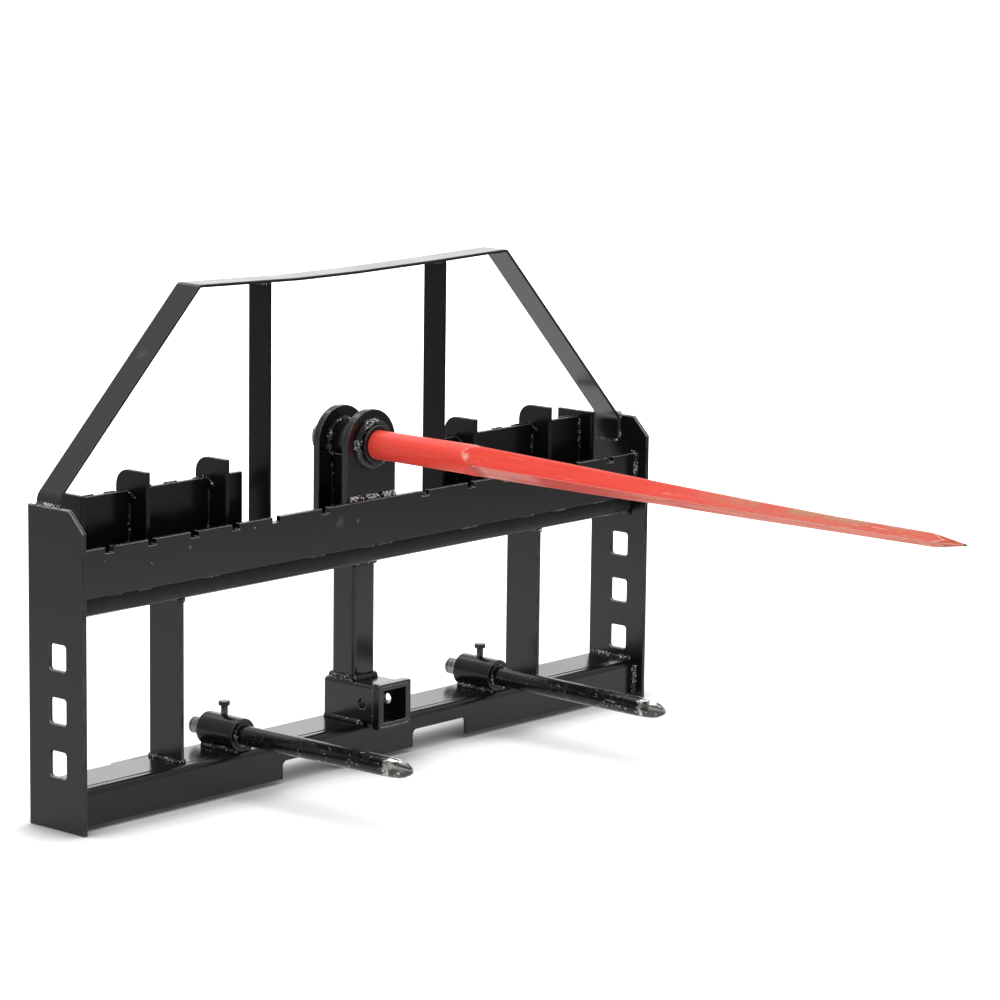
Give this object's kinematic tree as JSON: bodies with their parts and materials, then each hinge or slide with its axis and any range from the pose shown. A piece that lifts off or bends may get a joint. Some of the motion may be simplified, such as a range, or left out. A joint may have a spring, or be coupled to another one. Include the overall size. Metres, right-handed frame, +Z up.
{
  "type": "bale spear",
  "caption": "Quick-attach bale spear: long tapered main spear and short stabiliser spears on a notched fork frame with an overhead guard and a hitch receiver.",
  "frame": {"origin": "on the ground, under the middle of the bounding box", "axes": "+X along the frame to the right as seen from the spear's point, +Y towards the loader, -Y the way the spears point, +Z up"},
  "size_m": [1.262, 1.2254, 0.7704],
  "materials": {
    "black_paint": "satin to gloss black powder coat",
    "red_paint": "semi-gloss orange-red dip paint over forged steel",
    "bright_steel": "plain machined steel"
  },
  "bodies": {
    "root": {"left_side_plate": "black_paint", "right_side_plate": "black_paint", "top_fork_bar": "black_paint", "top_rail_tube": "black_paint", "bottom_rail": "black_paint", "left_upright": "black_paint", "right_upright": "black_paint", "centre_post": "black_paint", "upper_post": "black_paint", "receiver_tube": "black_paint", "receiver_collar": "black_paint", "front_spear_ear": "black_paint", "rear_spear_ear": "black_paint", "spear_socket": "black_paint", "guard_bar": "black_paint", "left_guard_strut": "black_paint", "right_guard_strut": "black_paint", "left_hook_plate": "black_paint", "right_hook_plate": "black_paint", "left_hook_lip": "black_paint", "right_hook_lip": "black_paint", "left_end_gusset": "black_paint", "left_outer_gusset": "black_paint", "left_inner_gusset": "black_paint", "right_inner_gusset": "black_paint", "right_outer_gusset": "black_paint", "right_end_gusset": "black_paint", "left_latch_plate": "black_paint", "right_latch_plate": "black_paint", "left_stabiliser_sleeve": "black_paint", "right_stabiliser_sleeve": "black_paint", "left_stabiliser_spear": "black_paint", "right_stabiliser_spear": "black_paint", "left_set_bolt": "black_paint", "right_set_bolt": "black_paint", "main_spear": "red_paint", "spear_nut": "bright_steel"}
  },
  "joints": []
}
